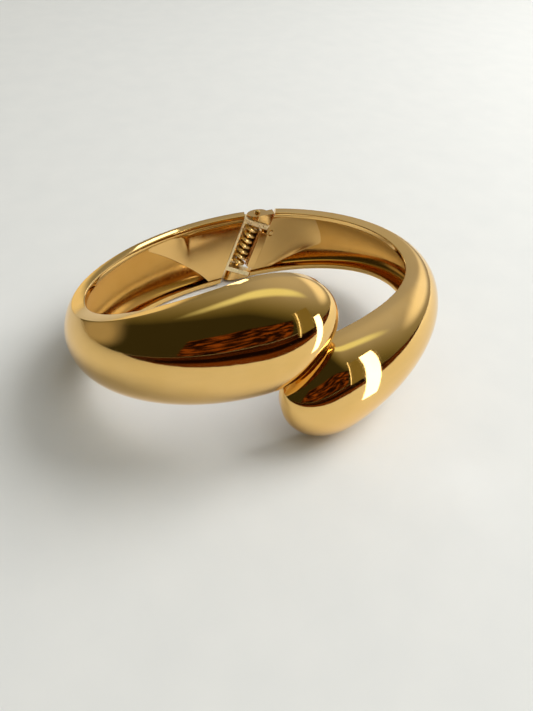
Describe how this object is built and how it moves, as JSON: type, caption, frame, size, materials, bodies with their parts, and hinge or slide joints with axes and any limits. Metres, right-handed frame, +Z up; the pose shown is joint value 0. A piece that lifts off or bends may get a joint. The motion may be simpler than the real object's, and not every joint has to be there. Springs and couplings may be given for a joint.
{
  "type": "hinged bypass bangle",
  "caption": "Oval bypass bangle of hollow half rings on a leaning sprung hinge, with smooth teardrop lobes that pass each other at the front.",
  "frame": {"origin": "on the table, under the middle of the bangle's box as it lies shut", "axes": "+Z up from the table, +Y towards the hinge at the back, +X to the wearer's right of the ring; the ring's own axis leans from +Z because the bangle lies on its lower lobe and its back edge"},
  "size_m": [0.0704, 0.0552, 0.0326],
  "materials": {
    "shell_plating": "mirror-polished gold plating over brass",
    "hinge_plating": "gold plating over tumbled brass, slightly softer than the shells",
    "pin_plating": "gold-plated pin wire with a rounded head",
    "spring_wire": "bright gold-plated spring wire"
  },
  "bodies": {
    "left_half": {"left_shell": "shell_plating", "left_hinge_plate": "hinge_plating", "spring_stirrup": "hinge_plating", "spring_guard": "hinge_plating"},
    "right_half": {"right_shell": "shell_plating", "right_hinge_plate": "hinge_plating", "upper_knuckle": "hinge_plating", "lower_knuckle": "hinge_plating", "hinge_pin": "pin_plating", "torsion_spring": "spring_wire"}
  },
  "joints": [
    {"name": "hinge", "type": "hinge", "parent": "left_half", "child": "right_half", "pos_m": [0.00512, 0.02466, 0.00821], "axis": [0.3839, 0.1015, 0.9178], "range_deg": [0, 40], "stiffness_Nm_per_rad": 0.05, "springref_deg": -34.38, "deforming": ["torsion_spring"]}
  ]
}
